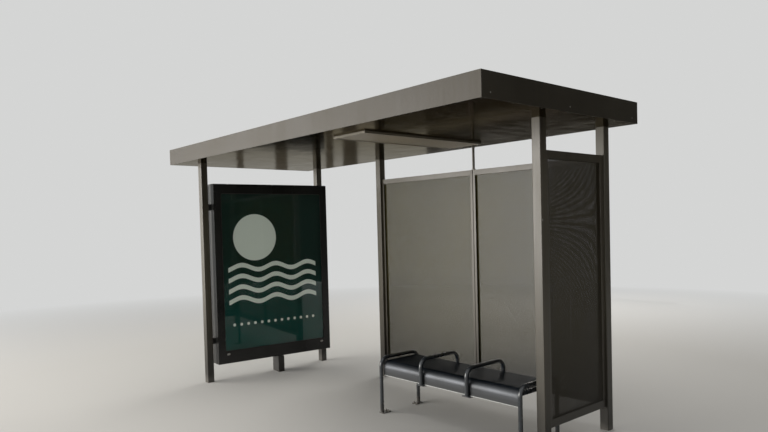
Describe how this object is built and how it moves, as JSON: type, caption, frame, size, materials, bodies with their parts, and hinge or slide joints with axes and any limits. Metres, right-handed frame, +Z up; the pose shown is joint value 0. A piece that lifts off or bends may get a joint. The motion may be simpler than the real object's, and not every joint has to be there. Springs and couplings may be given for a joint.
{
  "type": "bus shelter",
  "caption": "Street bus shelter with a flat roof on square posts, perforated back and side screens, a lit poster case at one end and a bent-sheet bench with tube hoops.",
  "frame": {"origin": "on the ground under the middle of the roof", "axes": "+X along the street towards the side screen, +Y away from the street, +Z up"},
  "size_m": [4.57, 1.88, 2.633],
  "materials": {
    "post_paint": "satin bronze paint",
    "fascia_paint": "satin bronze paint, weathered",
    "deck_paint": "weathered grey-brown paint",
    "soffit_gloss": "high gloss dark brown paint",
    "beam_paint": "primer",
    "light_paint": "satin beige-brown paint",
    "light_lens": "matt diffuser",
    "frame_paint": "satin bronze paint",
    "perforated_sheet": "perforated sheet, satin bronze paint",
    "case_paint": "satin dark grey paint",
    "poster_print": "printed poster",
    "door_paint": "gloss black paint",
    "door_glass": "clear toughened glass",
    "gasket_rubber": "black rubber",
    "bare_steel": "brushed",
    "seat_paint": "semi-gloss blue-black powder coat",
    "tube_paint": "semi-gloss blue-black powder coat"
  },
  "bodies": {
    "shelter": {"front_left_post": "post_paint", "back_left_post": "post_paint", "back_middle_post": "post_paint", "back_right_post": "post_paint", "front_right_post": "post_paint", "front_fascia": "fascia_paint", "back_fascia": "fascia_paint", "left_fascia": "fascia_paint", "right_fascia": "fascia_paint", "roof_deck": "deck_paint", "soffit_panel": "soffit_gloss", "back_roof_beam": "beam_paint", "left_roof_beam": "beam_paint", "right_roof_beam": "beam_paint", "ceiling_light_housing": "light_paint", "ceiling_light_lens": "light_lens", "left_wall_frame": "frame_paint", "right_wall_frame": "frame_paint", "left_wall_panel": "perforated_sheet", "right_wall_panel": "perforated_sheet", "light_conduit": "frame_paint", "side_screen_frame": "frame_paint", "side_screen_panel": "perforated_sheet", "case_housing": "case_paint", "inner_poster": "poster_print", "outer_poster": "poster_print", "inner_hinge_rod": "bare_steel", "outer_door_frame": "door_paint", "outer_door_glass": "door_glass", "outer_hinge_rod": "bare_steel", "case_leg": "case_paint", "upper_front_bracket": "case_paint", "lower_front_bracket": "case_paint", "upper_back_bracket": "case_paint", "lower_back_bracket": "case_paint", "bench_seat": "seat_paint", "left_bench_hoop": "tube_paint", "inner_left_armrest": "tube_paint", "inner_right_armrest": "tube_paint", "right_bench_hoop": "tube_paint"},
    "case_door": {"inner_door_frame": "door_paint", "inner_door_glass": "door_glass", "left_door_lock": "bare_steel", "right_door_lock": "bare_steel"}
  },
  "joints": [
    {"name": "case_door_hinge", "type": "hinge", "parent": "shelter", "child": "case_door", "pos_m": [-1.82532, 0.10053, 2.221], "axis": [-0.0872, -0.9962, 0], "range_deg": [0, 75]}
  ]
}
